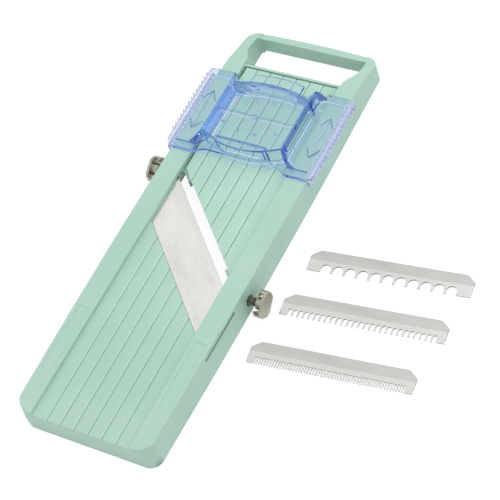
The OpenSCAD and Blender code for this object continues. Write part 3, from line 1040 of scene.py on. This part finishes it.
@dataclass
class Studio:
    """Floor, lights, sky and camera. Lengths are in metres where no unit is named."""

    floor_half: float = 4.0
    floor_y: float = 0.14
    floor_gap: float = 0.0003
    board_paint: float = 0.85
    back_lamp: tuple[float, float, float] = (0.15, 0.76, 1.5)
    side_lamp: tuple[float, float, float] = (1.3, -0.5, 0.7)
    camera_mm: tuple[float, float, float] = (510.04, -321.72, 839.41)
    aim_mm: tuple[float, float, float] = (31.01, 139.68, 10.0)
    roll_deg: float = 23.069
    focal_px: float = 1867.33
    frame_px: float = 500.0
    sky_light: float = 0.7
    floor_glow: float = 0.94
    floor_paint: float = 0.11
    light_paths: int = 28

    def build(self) -> None:
        """Builds the whole studio."""
        bpy.context.scene.view_settings.view_transform = "Standard"
        for kind in ("max_bounces", "glossy_bounces", "transmission_bounces", "transparent_max_bounces"):
            setattr(bpy.context.scene.cycles, kind, self.light_paths)
        self.view()
        self.sky()
        self.floor()
        self.lamps()

    def view(self) -> None:
        """Places the camera."""
        data = bpy.data.cameras.new("camera")
        data.sensor_width = 36.0
        data.lens = self.focal_px / self.frame_px * data.sensor_width
        data.clip_end = 20.0
        eye = Vector(self.camera_mm) * MM
        roll = Matrix.Rotation(-math.radians(self.roll_deg), 4, "Z")
        camera = bpy.data.objects.new("camera", data)
        camera.matrix_world = self.looking(eye, Vector(self.aim_mm) * MM) @ roll
        bpy.context.scene.collection.objects.link(camera)
        bpy.context.scene.camera = camera

    def looking(self, eye: Vector, aim: Vector) -> Matrix:
        """Gives the place and turn of a camera or lamp at one point that faces another.

        Args:
            eye: where it stands.
            aim: what it faces.

        Returns:
            Its matrix.
        """
        return Matrix.Translation(eye) @ (aim - eye).to_track_quat("-Z", "Y").to_matrix().to_4x4()

    def seen(self, tree: bpy.types.NodeTree) -> Socket:
        """Gives 1 for what is looked at directly, in a reflection or through clear plastic.

        Args:
            tree: the node tree that gets the nodes.

        Returns:
            The mask.
        """
        path = add_node(tree, "LightPath").outputs
        most = path["Is Camera Ray"]
        for ray in ("Is Transmission Ray", "Is Glossy Ray"):
            most = add_node(tree, "Math", {"operation": "MAXIMUM"}, {0: most, 1: path[ray]}).outputs[0]
        return most

    def sky(self) -> None:
        """Makes a world that lights evenly and is white where it is looked at."""
        world = bpy.data.worlds.new("studio")
        world.use_nodes = True
        tree = world.node_tree
        tree.nodes.clear()
        light = add_node(tree, "Background", {}, {"Color": (1, 1, 1, 1), "Strength": self.sky_light})
        white = add_node(tree, "Background", {}, {"Color": (1, 1, 1, 1), "Strength": 1.0})
        mix = add_node(tree, "MixShader", {}, {0: self.seen(tree), 1: light.outputs[0], 2: white.outputs[0]})
        add_node(tree, "OutputWorld", {}, {"Surface": mix.outputs[0]})
        bpy.context.scene.world = world

    def floor(self) -> None:
        """Lays a pale floor that keeps a faint shadow."""
        mesh = bpy.data.meshes.new("floor")
        shape = bmesh.new()
        bmesh.ops.create_grid(shape, x_segments=1, y_segments=1, size=self.floor_half)
        bmesh.ops.translate(shape, verts=shape.verts, vec=(0, self.floor_y, -self.floor_gap))
        shape.to_mesh(mesh)
        shape.free()
        floor = bpy.data.objects.new("floor", mesh)
        bpy.context.scene.collection.objects.link(floor)
        p = Pattern("painted_board_white")
        greys = (self.board_paint, self.floor_paint)
        paint, shade = (p.add("BsdfDiffuse", {}, {"Color": (grey, grey, grey, 1)}) for grey in greys)
        glow = p.add("Emission", {}, {"Color": (1, 1, 1, 1), "Strength": self.floor_glow})
        lit = p.add("AddShader", {}, {0: shade.outputs[0], 1: glow.outputs[0]})
        mix = p.add("MixShader", {}, {0: self.seen(p.tree), 1: paint.outputs[0], 2: lit.outputs[0]})
        floor.data.materials.append(p.close(mix.outputs[0]))

    def lamps(self) -> None:
        """Hangs a broad lamp behind, and a weaker one to the right of the front for the walls."""
        for name, place, size, watts in (
            ("back_lamp", self.back_lamp, 0.6, 8.4),
            ("side_lamp", self.side_lamp, 0.9, 2.0),
        ):
            data = bpy.data.lights.new(name, "AREA")
            data.size = size
            data.energy = watts
            lamp = bpy.data.objects.new(name, data)
            eye = Vector(place)
            lamp.matrix_world = self.looking(eye, Vector((0, self.floor_y, 0)))
            bpy.context.scene.collection.objects.link(lamp)


def main() -> None:
    """Builds the studio and every sub-assembly in order."""
    logging.basicConfig(level=logging.INFO, format="%(message)s")
    Studio().build()
    SlicerBody().build()
    Ramp().build()
    CuttingBlade().build()
    # Painted shade: the thread steel is given a darker, browner colour for the shade and dark reflections the
    # spindles lie in.
    shaded_screw_steel = TurnedMetal("rolled_thread_steel_painted_shade", "8F8A7E", "6E6350", roughness=0.36).build()
    plate = PlatedCasting().build()
    for screw in (ClampScrew(Side.RIGHT, 109.7), ClampScrew(Side.LEFT, 176.3)):
        screw.build(shaded_screw_steel, plate)
    RampAdjuster().build(shaded_screw_steel, plate)
    HandGuard().build()
    for node, corner in (
        ("coarse_comb", (63.5, 142.9, 0.0)),
        ("medium_comb", (62.1, 111.0, 0.0)),
        ("fine_comb", (58.6, 76.5, 0.0)),
    ):
        LooseComb(node, corner).build()


if __name__ == "__main__":
    main()
